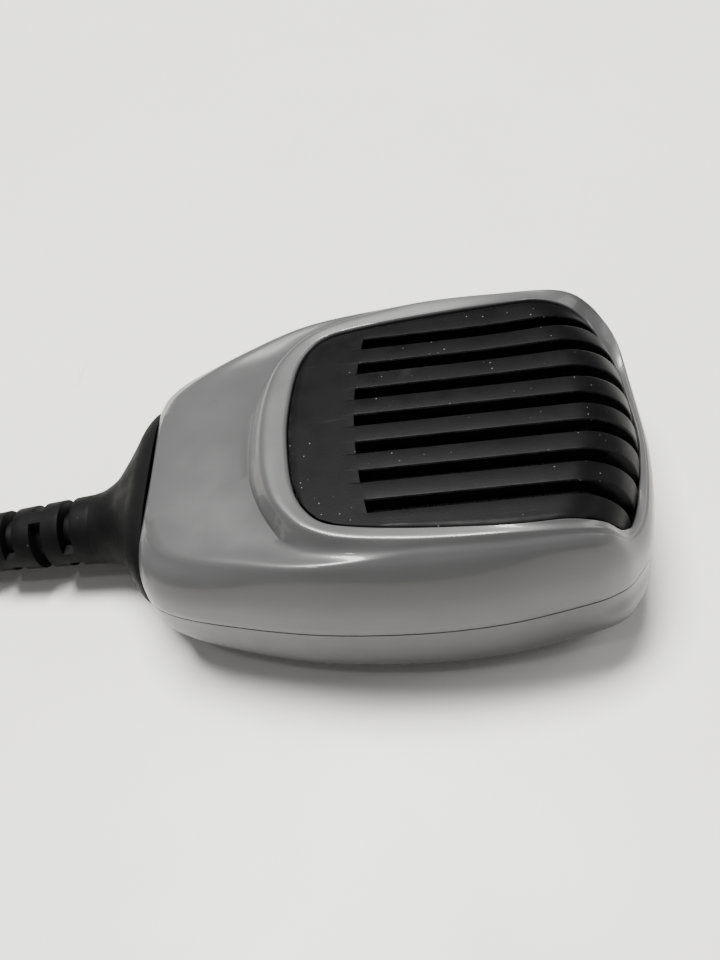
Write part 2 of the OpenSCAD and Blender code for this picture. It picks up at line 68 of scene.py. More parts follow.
def smooth_open(points, steps):
    p = [np.asarray(q, float) for q in points]
    n = len(p) - 1
    out = []
    for i in range(n):
        for s in range(steps):
            out.append(spline(p[max(i - 1, 0)], p[i], p[i + 1], p[min(i + 2, n)], s / steps))
    out.append(p[n])
    return np.array(out)


def smooth_closed(points, steps):
    p = [np.asarray(q, float) for q in points]
    n = len(p)
    return np.array([spline(p[i - 1], p[i], p[(i + 1) % n], p[(i + 2) % n], s / steps)
                     for i in range(n) for s in range(steps)])


def evenly(path, step):
    """The same path with points about a step apart, and each point's distance along it."""
    path = np.asarray(path, float)
    d = np.r_[0, np.cumsum(np.linalg.norm(np.diff(path, axis=0), axis=1))]
    t = np.linspace(0, d[-1], max(2, int(round(d[-1] / step)) + 1))
    return np.stack([np.interp(t, d, path[:, k]) for k in range(3)], 1), t


def ease(v, lo, hi):
    t = min(max((v - lo) / (hi - lo), 0.0), 1.0)
    return t * t * (3 - 2 * t)


def make_object(name, verts, faces, sharp):
    mesh = bpy.data.meshes.new(name)
    mesh.from_pydata([tuple(float(c) * MM for c in v) for v in verts], [], faces)
    mesh.validate()
    obj = bpy.data.objects.new(name, mesh)
    bpy.context.scene.collection.objects.link(obj)
    mark_sharp(obj, sharp)
    return obj


def remove(obj):
    mesh = obj.data
    bpy.data.objects.remove(obj)
    bpy.data.meshes.remove(mesh)


def mark_sharp(obj, degrees):
    bm = bmesh.new()
    bm.from_mesh(obj.data)
    bmesh.ops.recalc_face_normals(bm, faces=bm.faces)
    limit = math.radians(degrees)
    for e in bm.edges:
        e.smooth = not (len(e.link_faces) == 2 and e.calc_face_angle(0) > limit)
    for f in bm.faces:
        f.smooth = True
    bm.to_mesh(obj.data)
    bm.free()
    obj.data.update()


def loft(name, rings, tunnel=False, sharp=35):
    """Skins rings of equal length. The ends are closed, or a tunnel joins the last to the first."""
    n, m = len(rings[0]), len(rings)
    verts = [v for r in rings for v in r]
    faces = []
    for i in range(m if tunnel else m - 1):
        for j in range(n):
            i2, j2 = (i + 1) % m, (j + 1) % n
            faces.append((i * n + j, i * n + j2, i2 * n + j2, i2 * n + j))
    if not tunnel:
        faces.append(tuple(range(n - 1, -1, -1)))
        faces.append(tuple((m - 1) * n + j for j in range(n)))
    return make_object(name, verts, faces, sharp)


def apply_modifiers(obj):
    bpy.context.view_layer.update()
    dg = bpy.context.evaluated_depsgraph_get()
    mesh = bpy.data.meshes.new_from_object(obj.evaluated_get(dg))
    old = obj.data
    obj.modifiers.clear()
    obj.data = mesh
    bpy.data.meshes.remove(old)


def cut(obj, tools):
    for tool in tools:
        m = obj.modifiers.new("cut", "BOOLEAN")
        m.operation = "DIFFERENCE"
        m.solver = "EXACT"
        m.object = tool
    apply_modifiers(obj)
    for tool in tools:
        remove(tool)


def bevel(obj, width_mm, segments, degrees):
    m = obj.modifiers.new("bevel", "BEVEL")
    m.width = width_mm * MM
    m.segments = segments
    m.limit_method = "ANGLE"
    m.angle_limit = math.radians(degrees)
    m.use_clamp_overlap = True
    apply_modifiers(obj)
    mark_sharp(obj, CREASE)


def revolve(name, outline, centre, sides):
    """Turns a closed outline of (radius, height) points round an upright axis at (x, y) centre."""
    rings = []
    for i in range(sides):
        a = 2 * math.pi * i / sides
        rings.append([[centre[0] + r * math.cos(a), centre[1] + r * math.sin(a), h]
                      for r, h in outline])
    return loft(name, rings, tunnel=True, sharp=CREASE)


def block(name, lo, hi, radius, axis, segs=4):
    """A box from corner lo to corner hi, with its four edges along one axis rounded."""
    a, b = [k for k in range(3) if k != axis]
    ring = []
    corners = [(hi[a], hi[b], 0), (lo[a], hi[b], 90), (lo[a], lo[b], 180), (hi[a], lo[b], 270)]
    for ca, cb, start in corners:
        ma = ca - radius if ca == hi[a] else ca + radius
        mb = cb - radius if cb == hi[b] else cb + radius
        for s in range(segs + 1):
            t = math.radians(start + 90 * s / segs)
            ring.append((ma + radius * math.cos(t), mb + radius * math.sin(t)))
    rings = []
    for h in (lo[axis], hi[axis]):
        end = []
        for pa, pb in ring:
            q = [0, 0, 0]
            q[a], q[b], q[axis] = pa, pb, h
            end.append(q)
        rings.append(end)
    return loft(name, rings)


def cylinder(name, x, y, r, lo, hi, sides=48):
    ring = [[x + r * math.cos(a), y + r * math.sin(a)]
            for a in np.linspace(0, 2 * math.pi, sides, endpoint=False)]
    return loft(name, [[[px, py, h] for px, py in ring] for h in (lo, hi)])


def tube(name, path, radius, sides):
    path = np.asarray(path, float)
    rings = []
    for i, p in enumerate(path):
        t = tangent(path, i)
        if i == 0:
            n1 = np.cross(t, np.array([0, 0, 1.0] if abs(t[2]) < 0.9 else [0, 1.0, 0]))
        n1 = unit(n1 - np.dot(n1, t) * t)
        n2 = np.cross(t, n1)
        rings.append([p + radius * (math.cos(a) * n1 + math.sin(a) * n2)
                      for a in np.linspace(0, 2 * math.pi, sides, endpoint=False)])
    return loft(name, rings, sharp=CREASE)


def joined(name, parts):
    bm = bmesh.new()
    for p in parts:
        bm.from_mesh(p.data)
    mesh = bpy.data.meshes.new(name)
    bm.to_mesh(mesh)
    bm.free()
    for p in parts:
        remove(p)
    obj = bpy.data.objects.new(name, mesh)
    bpy.context.scene.collection.objects.link(obj)
    return obj


# ------------------------------------------------------------------ camera
cam_data = bpy.data.cameras.new("camera")
cam = bpy.data.objects.new("camera", cam_data)
bpy.context.scene.collection.objects.link(cam)
cam.matrix_world = Matrix(((0.9898, 0.0991, 0.1023, 0.0094),
                           (-0.0121, 0.7742, -0.6329, -0.0956),
                           (-0.1419, 0.6252, 0.7675, 0.1302),
                           (0, 0, 0, 1)))
cam_data.sensor_width = 36
cam_data.lens = 35.625
cam_data.clip_start = 0.005
cam_data.clip_end = 20
bpy.context.scene.camera = cam

# ------------------------------------------------------------------ cord
CABLE_R = 2.4
CURL_R = 4.6            # from the curl's middle line to the cable's
TURN = 5.1              # how far the curl goes on in one turn
FADE_TURNS = 1.8        # turns over which the curl opens out from a straight cable
POINTS_A_TURN = 20
RELIEF_END = 8          # the point of lead_route where the strain relief ends
lead_route = [[-34, 0, 12], [-38, 0, 12], [-41, 0, 11.5], [-44, 0, 10.6], [-47, 0, 9.5],
              [-50, 0, 8.7], [-54, 0, 8.2], [-62, 0, 7.7], [-70, 0, 7.2], [-77, 0, 6.8],
              [-81, 0.6, 6.4], [-85.5, 3.4, 6], [-89.5, 8.5, 5.9], [-93, 13.4, 6.2],
              [-97, 17, 6.7], [-101, 18, 7]]
curl_route = [[-101, 18, 7], [-112, 18, 7.1], [-130, 18, 7.6], [-148, 18, 7.9],
              [-166, 18, 7.6], [-179, 18, 7.1], [-186, 18, 7.03], [-192.4, 15.4, 7.02],
              [-195, 9, 7.02], [-192.4, 2.6, 7.02], [-186, 0, 7.03], [-179, 0, 7.1],
              [-166, 0, 7.6], [-148, 0, 7.9], [-130, 0, 7.6], [-116, 0, 7.1],
              [-109, 0, 7.03], [-102.6, -2.6, 7.02], [-100, -9, 7.02], [-102.6, -15.4, 7.02],
              [-109, -18, 7.03], [-116, -18, 7.1], [-130, -18, 7.6], [-148, -18, 7.9],
              [-166, -18, 7.6], [-180, -18, 7.1], [-188, -18, 7]]
tail_route = [[-188, -18, 7], [-192, -18, 6.4], [-197, -18, 5.2], [-202, -18, 4.3],
              [-208, -18, 3.9], [-214, -18, 3.8], [-220, -18, 3.8]]


def curly(route):
    """A close helix round the route. Its radius and its turning both start and end at nothing."""
    axis, s = evenly(smooth_open(route, 12), TURN / POINTS_A_TURN)
    fade = FADE_TURNS * TURN
    out = []
    a = 0.0
    for i, p in enumerate(axis):
        t = tangent(axis, i)
        side = unit(np.cross(t, [0, 0, 1.0]))
        up = np.cross(side, t)
        grow = ease(min(s[i], s[-1] - s[i]), 0, fade)
        a += 2 * math.pi / POINTS_A_TURN * grow
        out.append(p + CURL_R * grow * (math.cos(a) * side + math.sin(a) * up))
    return np.array(out)


lead_path = smooth_open(lead_route[RELIEF_END:], 5)
tail_path = smooth_open(tail_route[:-1], 6)
cord_path = np.vstack([lead_path[:-1], curly(curl_route), tail_path[1:]])
cord = tube("cord_cable", cord_path, CABLE_R, 16)
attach(cord, "mic")
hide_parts("cord_lead", "cord_curl", "cord_tail")


# ------------------------------------------------------------------ materials
def scaled(colour, by):
    return tuple(min(1, c * by) for c in colour)


class Finish:
    """A procedural surface: a base colour with variation and wear, uneven roughness, fine bump.

    The scales of noise and cells are in waves a metre, and bump distances are in metres.
    """

    def __init__(self, name, base, rough, spec=0.5, metallic=0.0):
        self.material = bpy.data.materials.new(name)
        self.material.use_nodes = True
        self.tree = self.material.node_tree
        self.tree.nodes.clear()
        self.bsdf = self.node("ShaderNodeBsdfPrincipled")
        out = self.node("ShaderNodeOutputMaterial")
        self.link(self.bsdf.outputs[0], out.inputs["Surface"])
        self.bsdf.inputs["Metallic"].default_value = metallic
        self.bsdf.inputs["Specular IOR Level"].default_value = spec
        self.coord = self.node("ShaderNodeTexCoord").outputs["Object"]
        self.base = base
        self.rough = rough
        self.colour = None

    def link(self, output, socket):
        self.tree.links.new(output, socket)

    def node(self, kind, **values):
        """A new node with its properties, or else the values of its inputs, set by name."""
        n = self.tree.nodes.new(kind)
        for k, v in values.items():
            if hasattr(n, k):
                setattr(n, k, v)
            else:
                n.inputs[k].default_value = v
        return n

    def textured(self, kind, stretch, **values):
        """A texture node on the piece's own coordinates, stretched by one factor an axis."""
        n = self.node(kind, **values)
        place = self.coord
        if stretch:
            mapping = self.node("ShaderNodeMapping", Scale=stretch)
            self.link(self.coord, mapping.inputs["Vector"])
            place = mapping.outputs[0]
        self.link(place, n.inputs["Vector"])
        return n

    def noise(self, scale, detail=4.0, rough=0.55, stretch=None):
        return self.textured("ShaderNodeTexNoise", stretch, Scale=scale, Detail=detail,
                             Roughness=rough).outputs["Fac"]

    def cells(self, scale, feature="F1", stretch=None):
        return self.textured("ShaderNodeTexVoronoi", stretch, Scale=scale,
                             feature=feature).outputs["Distance"]

    def ramp(self, fac, lo, hi, a=0.0, b=1.0):
        """Maps lo to a and hi to b, and stays between them."""
        n = self.node("ShaderNodeMapRange",
                      **{"From Min": lo, "From Max": hi, "To Min": a, "To Max": b})
        self.link(fac, n.inputs["Value"])
        return n.outputs[0]

    def math(self, op, a, b):
        n = self.node("ShaderNodeMath", operation=op)
        for k, v in enumerate((a, b)):
            if isinstance(v, (int, float)):
                n.inputs[k].default_value = v
            else:
                self.link(v, n.inputs[k])
        return n.outputs[0]

    def mix(self, fac, a, b):
        n = self.node("ShaderNodeMix", data_type="RGBA")
        self.link(fac, n.inputs[0])
        for k, v in ((6, a), (7, b)):       # the two colour inputs of a node with many hidden ones
            if isinstance(v, (tuple, list)):
                n.inputs[k].default_value = (*v, 1)
            else:
                self.link(v, n.inputs[k])
        return n.outputs[2]

    def vary(self, scale, amount, stretch=None):
        share = self.ramp(self.noise(scale, 5.0, stretch=stretch), 0.3, 0.7)
        self.colour = self.mix(share, scaled(self.base, 1 - amount), scaled(self.base, 1 + amount))

    def tint(self, fac, other):
        self.colour = self.mix(fac, self.base if self.colour is None else self.colour, other)

    def specks(self, scale, threshold, colour, mask_scale, mask, strength):
        dots = self.ramp(self.cells(scale), threshold, threshold * 0.55)
        where = self.ramp(self.noise(mask_scale, 2.0), mask, mask + 0.12, 0.0, strength)
        self.tint(self.math("MULTIPLY", dots, where), colour)

    def scratches(self, scale, colour, strength, stretch, width, mask=0.55):
        """Hair lines where a stretched noise passes through its middle value."""
        n = self.noise(scale, 1.0, stretch=stretch)
        near = self.math("ABSOLUTE", self.math("SUBTRACT", n, 0.5), 0.0)
        hair = self.ramp(near, width, width * 0.2)
        where = self.ramp(self.noise(scale * 2.2, 2.0), mask, mask + 0.1, 0.0, strength)
        self.tint(self.math("MULTIPLY", hair, where), colour)

    def wear(self, colour, strength, lo=0.52, hi=0.6):
        """A broken tint along outward edges."""
        edge = self.ramp(self.node("ShaderNodeNewGeometry").outputs["Pointiness"], lo, hi)
        broken = self.ramp(self.noise(420, 4.0), 0.35, 0.65, 0.0, strength)
        self.tint(self.math("MULTIPLY", edge, broken), colour)

    def bump(self, height, distance, strength):
        n = self.node("ShaderNodeBump", Strength=strength, Distance=distance)
        self.link(height, n.inputs["Height"])
        self.link(n.outputs[0], self.bsdf.inputs["Normal"])

    def roughness(self, scale, amount, stretch=None):
        uneven = self.ramp(self.noise(scale, 4.0, stretch=stretch), 0.3, 0.7,
                           self.rough - amount, self.rough + amount)
        self.link(uneven, self.bsdf.inputs["Roughness"])

    def done(self, **inputs):
        """The finished material, with any other of its shader's inputs set to constants."""
        self.link(self.colour, self.bsdf.inputs["Base Color"])
        for k, v in inputs.items():
            self.bsdf.inputs[k.replace("_", " ")].default_value = v
        return self.material


def case_finish(name, base):
    f = Finish(name, base, 0.36, spec=0.4)
    f.vary(38, 0.025)
    f.tint(f.ramp(f.noise(90, 6.0, 0.7), 0.55, 0.75, 0.0, 0.10), scaled(base, 0.78))
    f.specks(330, 0.055, (0.012, 0.011, 0.01), mask_scale=70, mask=0.56, strength=0.75)
    f.scratches(60, scaled(base, 0.7), 0.25, stretch=(0.1, 2.2, 2.2), width=0.01, mask=0.64)
    f.wear(scaled(base, 1.2), 0.25, 0.54, 0.64)
    f.bump(f.noise(2400, 3.0), 0.000012, 0.12)
    f.roughness(160, 0.05)
    return f.done(Coat_Weight=0.3, Coat_Roughness=0.06)


def rubber(name, base=(0.0027, 0.0027, 0.0029), rough=0.6, dust=0.35):
    f = Finish(name, base, rough, spec=0.08)
    f.vary(140, 0.18)
    f.tint(f.ramp(f.noise(60, 6.0, 0.65), 0.5, 0.8, 0.0, dust), (0.008, 0.0079, 0.0075))
    f.specks(700, 0.09, (0.12, 0.12, 0.115), mask_scale=160, mask=0.52, strength=0.5)
    f.bump(f.noise(2600, 4.0), 0.00004, 0.35)
    f.roughness(300, 0.1)
    return f.done()


def black_plastic(name, base=(0.0022, 0.0022, 0.0025), rough=0.42):
    f = Finish(name, base, rough, spec=0.06)
    f.vary(80, 0.1)
    f.tint(f.ramp(f.noise(45, 6.0, 0.7), 0.5, 0.8, 0.0, 0.25), (0.0045, 0.0044, 0.0042))
    f.specks(800, 0.11, (0.2, 0.2, 0.19), mask_scale=130, mask=0.5, strength=0.55)
    f.scratches(70, (0.014, 0.014, 0.014), 0.35, stretch=(0.12, 2.4, 2.4), width=0.01)
    f.wear((0.028, 0.028, 0.028), 0.35)
    f.bump(f.noise(3200, 3.0), 0.00003, 0.4)
    f.roughness(220, 0.08)
    return f.done()


def metal(name, base, rough):
    brushed = (1, 1, 18)
    f = Finish(name, base, rough, metallic=1.0)
    f.vary(200, 0.08, stretch=brushed)
    f.tint(f.ramp(f.noise(150, 6.0, 0.7), 0.55, 0.8, 0.0, 0.3), scaled(base, 0.5))
    f.wear(scaled(base, 1.3), 0.4)
    f.bump(f.noise(900, 3.0, stretch=brushed), 0.00003, 0.3)
    f.roughness(260, 0.05, stretch=brushed)
    return f.done()


def coloured(name, base, rough=0.45, **inputs):
    f = Finish(name, base, rough)
    f.vary(120, 0.08)
    f.tint(f.ramp(f.noise(80, 6.0, 0.7), 0.55, 0.8, 0.0, 0.18), scaled(base, 0.6))
    f.specks(600, 0.07, (0.05, 0.05, 0.05), mask_scale=140, mask=0.56, strength=0.5)
    f.wear(tuple(c * 1.25 + 0.02 for c in base), 0.3)
    f.bump(f.noise(1800, 3.0), 0.00003, 0.3)
    f.roughness(240, 0.07)
    return f.done(**inputs)


def woven(name):
    """The fine screen behind the slots: paler on its threads, with painted shade, near black, in
    its holes.
    """
    f = Finish(name, (0.018, 0.018, 0.019), 0.6, spec=0.3)
    threads = f.ramp(f.cells(1500), 0.28, 0.42)
    # painted shade: the holes between the threads are coloured near black
    f.tint(f.math("SUBTRACT", 1.0, threads), (0.002, 0.002, 0.002))
    f.bump(threads, 0.0001, 0.8)
    f.roughness(300, 0.1)
    return f.done()


def board(name):
    f = Finish(name, (0.012, 0.07, 0.035), 0.36)
    f.vary(90, 0.15)
    tracks = f.ramp(f.cells(420, "DISTANCE_TO_EDGE", (1, 1, 0.01)), 0.05, 0.09)
    f.tint(f.math("SUBTRACT", 1.0, tracks), (0.03, 0.15, 0.07))
    f.specks(500, 0.12, (0.55, 0.5, 0.35), mask_scale=200, mask=0.5, strength=0.8)
    f.bump(tracks, 0.00003, 0.3)
    f.roughness(200, 0.05)
    return f.done(Coat_Weight=0.2, Coat_Roughness=0.1)


def pale_floor(name):
    f = Finish(name, (0.74, 0.735, 0.72), 0.42, spec=0.35)
    f.vary(9, 0.02)
    f.tint(f.ramp(f.noise(14, 2.0, 0.5), 0.4, 0.8, 0.0, 0.1), (0.62, 0.615, 0.6))
    f.scratches(16, (0.4, 0.39, 0.37), 0.35, stretch=(1.8, 0.12, 1), width=0.003, mask=0.62)
    f.specks(70, 0.02, (0.2, 0.19, 0.18), mask_scale=20, mask=0.58, strength=0.7)
    f.bump(f.noise(260, 2.0), 0.00006, 0.05)
    f.roughness(30, 0.06)
    return f.done()


M_CASE = case_finish("case_grey", (0.06, 0.06, 0.0612))
# The rear half, its dish and its bosses take a darker, warmer copy of the same grey: painted shade
# on the lower half, and a painted warm reflection of the floor.
M_REAR_SHADED = case_finish("case_grey_rear_shaded", (0.046, 0.0461, 0.0453))
M_GRILLE = black_plastic("grille_black")
M_SCREEN = woven("screen_mesh")
M_BOOT = rubber("boot_rubber")
M_CORD = rubber("cord_rubber", (0.0044, 0.0044, 0.0047), 0.5, 0.25)
M_LEVER = black_plastic("lever_black", (0.0048, 0.0048, 0.0052), 0.5)
M_STEEL = metal("screw_steel", (0.52, 0.52, 0.53), 0.35)
M_CHROME = metal("knob_metal", (0.62, 0.61, 0.59), 0.2)
M_SPRING = metal("spring_steel", (0.5, 0.5, 0.52), 0.35)
M_GOLD = metal("contact_gold", (0.78, 0.56, 0.22), 0.2)
M_TIN = metal("tinned_wire", (0.6, 0.6, 0.58), 0.35)
M_CAPSULE = metal("capsule_metal", (0.55, 0.55, 0.54), 0.35)
M_BOARD = board("board_green")
M_PARTS = black_plastic("part_black", (0.006, 0.006, 0.0063), 0.4)
M_RUBBER_SOFT = rubber("soft_rubber", (0.007, 0.007, 0.0073), 0.7)
M_RED = coloured("plunger_red", (0.42, 0.03, 0.02))
M_NYLON = coloured("header_nylon", (0.62, 0.58, 0.47))
M_WIRE = coloured("wire_insulation", (0.35, 0.07, 0.025), 0.4)
M_CLAMP = black_plastic("clamp_plastic", (0.006, 0.006, 0.0063), 0.5)
M_PLUG = coloured("plug_clear", (0.62, 0.64, 0.63), 0.18, Transmission_Weight=0.55, IOR=1.49)
M_FLOOR = pale_floor("pale_floor")


def dress(obj, material):
    obj.data.materials.clear()
    obj.data.materials.append(material)


def piece(obj, material, body="mic", stands_for=()):
    dress(obj, material)
    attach(obj, body)
    if stands_for:
        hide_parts(*stands_for)


dress(cord, M_CORD)
for node_name, material in {
        "grille_screen": M_SCREEN, "mic_capsule": M_CAPSULE, "capsule_holder": M_RUBBER_SOFT,
        "capsule_leads": M_TIN, "circuit_board": M_BOARD, "board_parts": M_PARTS,
        "board_screws": M_STEEL, "ptt_pivot_pin": M_STEEL, "switch_body": M_PARTS,
        "switch_plunger": M_RED, "wire_header": M_NYLON, "cord_wires": M_WIRE,
        "cord_clamp": M_CLAMP, "clamp_screws": M_STEEL, "case_screws": M_STEEL,
        "hanger_knob": M_CHROME, "hanger_nut": M_STEEL, "cord_tie": M_RUBBER_SOFT,
        "plug_boot": M_CORD, "plug_body": M_PLUG, "plug_contacts": M_GOLD,
        "plug_latch": M_PLUG}.items():
    dress(nodes[node_name], material)

# ------------------------------------------------------------------ case
FACE_Z, HEAD_Z = 28.2, 18.4         # the grille's flat face, and the level its roll comes down to
ROLL_X, ROLL_L = 27.0, 9.6          # where the roll over the head starts, and its length along x
ROLL_BOW = 0.0125                   # how far that start bows back, per square of y
ROLL_END = 0.995                    # face_z follows this share of the roll, short of vertical
SEAM_Z = 14.0
BACK_X, BACK_RISE = -8, 0.0062      # the back is flat up to here and then curves up to the boot
HALF_L, HALF_W = 38.5, 28.6
DISC_X, DISC_INSET = 12, 8.5        # the middle of the back's level rings, and how far in they lie
SHELL_CREASE = 38                   # as CREASE, for the two shells
RING_STEPS = 5                      # steps from one drawn point of an outline to the next
RINGS_BETWEEN = 3                   # steps from one drawn ring to the next


def face_z(x, y):
    t = min(max((x + ROLL_BOW * y * y - ROLL_X) / ROLL_L, 0.0), ROLL_END)
    return HEAD_Z + (FACE_Z - HEAD_Z) * math.sqrt(1 - t * t)


def back_z(x):
    return 0.0 if x > BACK_X else BACK_RISE * (x - BACK_X) ** 2


def ring_of(half, steps=RING_STEPS):
    """A closed ring from the half drawn round the +Y side, tail's middle to head's middle."""
    other = [[q[0], -q[1], *q[2:]] for q in half[-2:0:-1]]
    return smooth_closed([list(q) for q in half] + other, steps)


# Half outlines of the front shell, from the seam up to the ridge round the grille.
seam = [[-38.6, 0, 14], [-38.9, 8.6, 14], [-39.4, 14.2, 14], [-38.2, 19, 14], [-34, 22.2, 14],
        [-25, 24.9, 14], [-12, 27.5, 14], [2, 28.6, 14], [14, 28.2, 14], [24.5, 26.4, 14],
        [29.5, 25, 14], [32.9, 22.6, 14], [36.4, 16.3, 14], [38.47, 0, 14]]
side = [[-38.6, 0, 18.2], [-38.9, 8.6, 18], [-39.3, 14, 17.6], [-38, 18.5, 17.6],
        [-33.8, 21.7, 18], [-24.9, 24.5, 19], [-12, 27.1, 19.6], [2, 28.15, 19.6],
        [14, 27.75, 19.6], [24.4, 26.05, 19.2], [29.3, 24.75, 18.6], [32.75, 22.4, 16.9],
        [36.3, 16.1, 16.2], [38.45, 0, 16]]
shoulder = [[-38.2, 0, 20.9], [-38.4, 8.4, 20.7], [-38.5, 13.4, 20.3], [-37.1, 17.4, 20.3],
            [-33, 20.5, 20.8], [-24.4, 23.5, 21.9], [-12, 26.1, 23.4], [2, 27.1, 23.4],
            [14, 26.75, 23.4], [24.4, 25.35, 22.6], [29.1, 24.3, 21.4], [32.6, 22.15, 18.6],
            [36.15, 15.8, 17.5], [38.35, 0, 17.1]]
edge_out = [[-37.3, 0, 22.3], [-37.3, 8.1, 22.1], [-37, 12.6, 21.8], [-35.5, 16.2, 21.8],
            [-31.4, 19.2, 22.4], [-23.6, 22.2, 23.9], [-12, 25, 25.6], [2, 25.6, 26],
            [14, 25.4, 26], [24.3, 24.6, 25.1], [28.9, 23.6, 23.3], [32.35, 21.8, 19.9],
            [35.95, 15.5, 18.5], [38.2, 0, 17.9]]
edge_in = [[-36, 0, 23.1], [-35.8, 7.7, 23], [-35.2, 11.8, 22.8], [-33.5, 15.2, 22.9],
           [-29.8, 18, 23.5], [-22.6, 21, 25], [-11.8, 24.2, 26.5], [2, 24.6, 27],
           [14, 24.5, 27], [24.1, 23.9, 26.2], [28.7, 23, 24.3], [32.1, 21.4, 20.8],
           [35.7, 15.1, 19.2], [37.95, 0, 18.5]]
foot = [[-23, 0, 25.3], [-22.5, 7, 25.3], [-21, 12, 25.2], [-19, 16, 25.1], [-16.8, 19.2, 25.3],
        [-13.2, 22, 26.1], [-7, 23.8, 26.9], [3, 24.1, 27.4], [14, 24.1, 27.3], [23.9, 23.4, 26.7],
        [28.5, 22.5, 24.9], [31.9, 21.1, 21.3], [35.4, 14.8, 19.7], [37.7, 0, 19]]
ridge = [[-18.3, 0, 28.9], [-17.8, 7, 28.9], [-16.6, 12.5, 28.85], [-14.4, 16.4, 28.8],
         [-11.4, 19.3, 28.75], [-6.4, 21.3, 28.7], [1, 22.3, 28.65], [8, 22.8, 28.6],
         [16, 22.9, 28.4], [23.7, 22.5, 27.6], [28.2, 21.8, 25.8], [31.6, 20.6, 21.8],
         [34.9, 14.4, 20.1], [37.3, 0, 19.3]]
# The grille's opening, seen from above.
opening = [[-15.2, 0], [-14.8, 6.5], [-13.9, 12], [-12.2, 15.8], [-9.4, 18.5], [-4.6, 19.8],
           [2, 20.7], [9, 21.3], [16, 21.7], [23.5, 21.5], [27.9, 20.9], [31.1, 19.8], [34.2, 13.9],
           [36.75, 0]]
LIP_UP = 0.35                       # how far the opening's edge stands above the grille
OPENING_MIDDLE = np.array([10.0, 0.0])


def lip_ring(grow, up):
    """The opening's edge, moved outward by grow and up from the grille's face by up."""
    r = ring_of(opening)
    out = []
    for i, p in enumerate(r):
        t = r[(i + 1) % len(r)] - r[i - 1]
        outward = np.array([-t[1], t[0]]) / np.linalg.norm(t)
        if np.dot(outward, p - OPENING_MIDDLE) < 0:
            outward = -outward
        q = p + grow * outward
        out.append([q[0], q[1], face_z(p[0], p[1]) + up])
    return np.array(out)


def lerp_ring(a, b, t, tz):
    """A ring between two others: by t in plan and by tz in height."""
    return np.column_stack([a[:, :2] * (1 - t) + b[:, :2] * t, a[:, 2] * (1 - tz) + b[:, 2] * tz])


def inset(r, d):
    """A ring moved in by d, measured level."""
    out = []
    for i, p in enumerate(r):
        t = r[(i + 1) % len(r)][:2] - r[i - 1][:2]
        inward = np.array([t[1], -t[0]]) / np.linalg.norm(t)
        if np.dot(inward, p[:2]) > 0:
            inward = -inward
        out.append([p[0] + d * inward[0], p[1] + d * inward[1], *p[2:]])
    return np.array(out)


def flat(r, z):
    return np.column_stack([r[:, 0], r[:, 1], np.full(len(r), float(z))])


def lowered(r, by):
    return r - np.array([0, 0, by])


r_seam, r_side, r_shoulder = ring_of(seam), ring_of(side), ring_of(shoulder)
r_out, r_in, r_foot, r_ridge = ring_of(edge_out), ring_of(edge_in), ring_of(foot), ring_of(ridge)
r_lip = lip_ring(0.0, LIP_UP)
TONGUE = 0.55                       # how far inside the seam the rear half's tongue stands
seam_rings = [flat(inset(r_seam, 1.9), 14.06), flat(inset(r_seam, TONGUE), 14.06),
              flat(inset(r_seam, 0.14), 14.06), flat(inset(r_seam, 0.03), 14.14)]
drawn = [flat(r_seam, 14.3), r_side, r_shoulder, r_out, r_in, r_foot,
         lerp_ring(r_foot, r_ridge, 0.4, 0.3), lerp_ring(r_foot, r_ridge, 0.78, 0.84), r_ridge,
         lerp_ring(r_ridge, r_lip, 0.55, 0.35), lerp_ring(r_ridge, r_lip, 0.93, 0.85)]
front_rings = seam_rings + list(smooth_open(drawn, RINGS_BETWEEN))
front_rings += [lip_ring(-0.02, LIP_UP - 0.12), lip_ring(-0.1, LIP_UP - 0.3),
                lip_ring(-0.12, LIP_UP - 0.6), lip_ring(-0.12, -2.7)]
front_rings += [lowered(inset(r_foot, 1.4), 2.0), lowered(inset(r_in, 1.6), 1.7),
                lowered(inset(r_shoulder, 1.8), 1.0), lowered(inset(r_side, 1.9), 0.4)]
front = loft("front_shell", front_rings, tunnel=True, sharp=SHELL_CREASE)

# The rear half: near-vertical walls, a rounded foot, and a back that curves up towards the boot.
bulge = [[p[0], p[1]] for p in seam]
bulge[10], bulge[11], bulge[12] = [29.8, 25.4], [33.2, 23], [36.5, 16.6]    # a fuller head corner
r_bulge = flat(ring_of(bulge), SEAM_Z)


def drawn_in(r, d):
    """A ring shrunk by about d towards the case's middle, which never folds at the corners."""
    return np.column_stack([r[:, 0] * (1 - d / HALF_L), r[:, 1] * (1 - d / HALF_W)])


def rear_ring(d, z, source=r_seam):
    return np.array([[x, y, z + back_z(x) * (1 - z / SEAM_Z)] for x, y in drawn_in(source, d)])


def rear_disc(share, z):
    """A ring on the back, inside the last rear_ring and shrunk to a share of its size."""
    out = []
    for x, y in drawn_in(r_seam, DISC_INSET):
        x = DISC_X + (x - DISC_X) * share
        out.append([x, y * share, z + back_z(x)])
    return np.array(out)


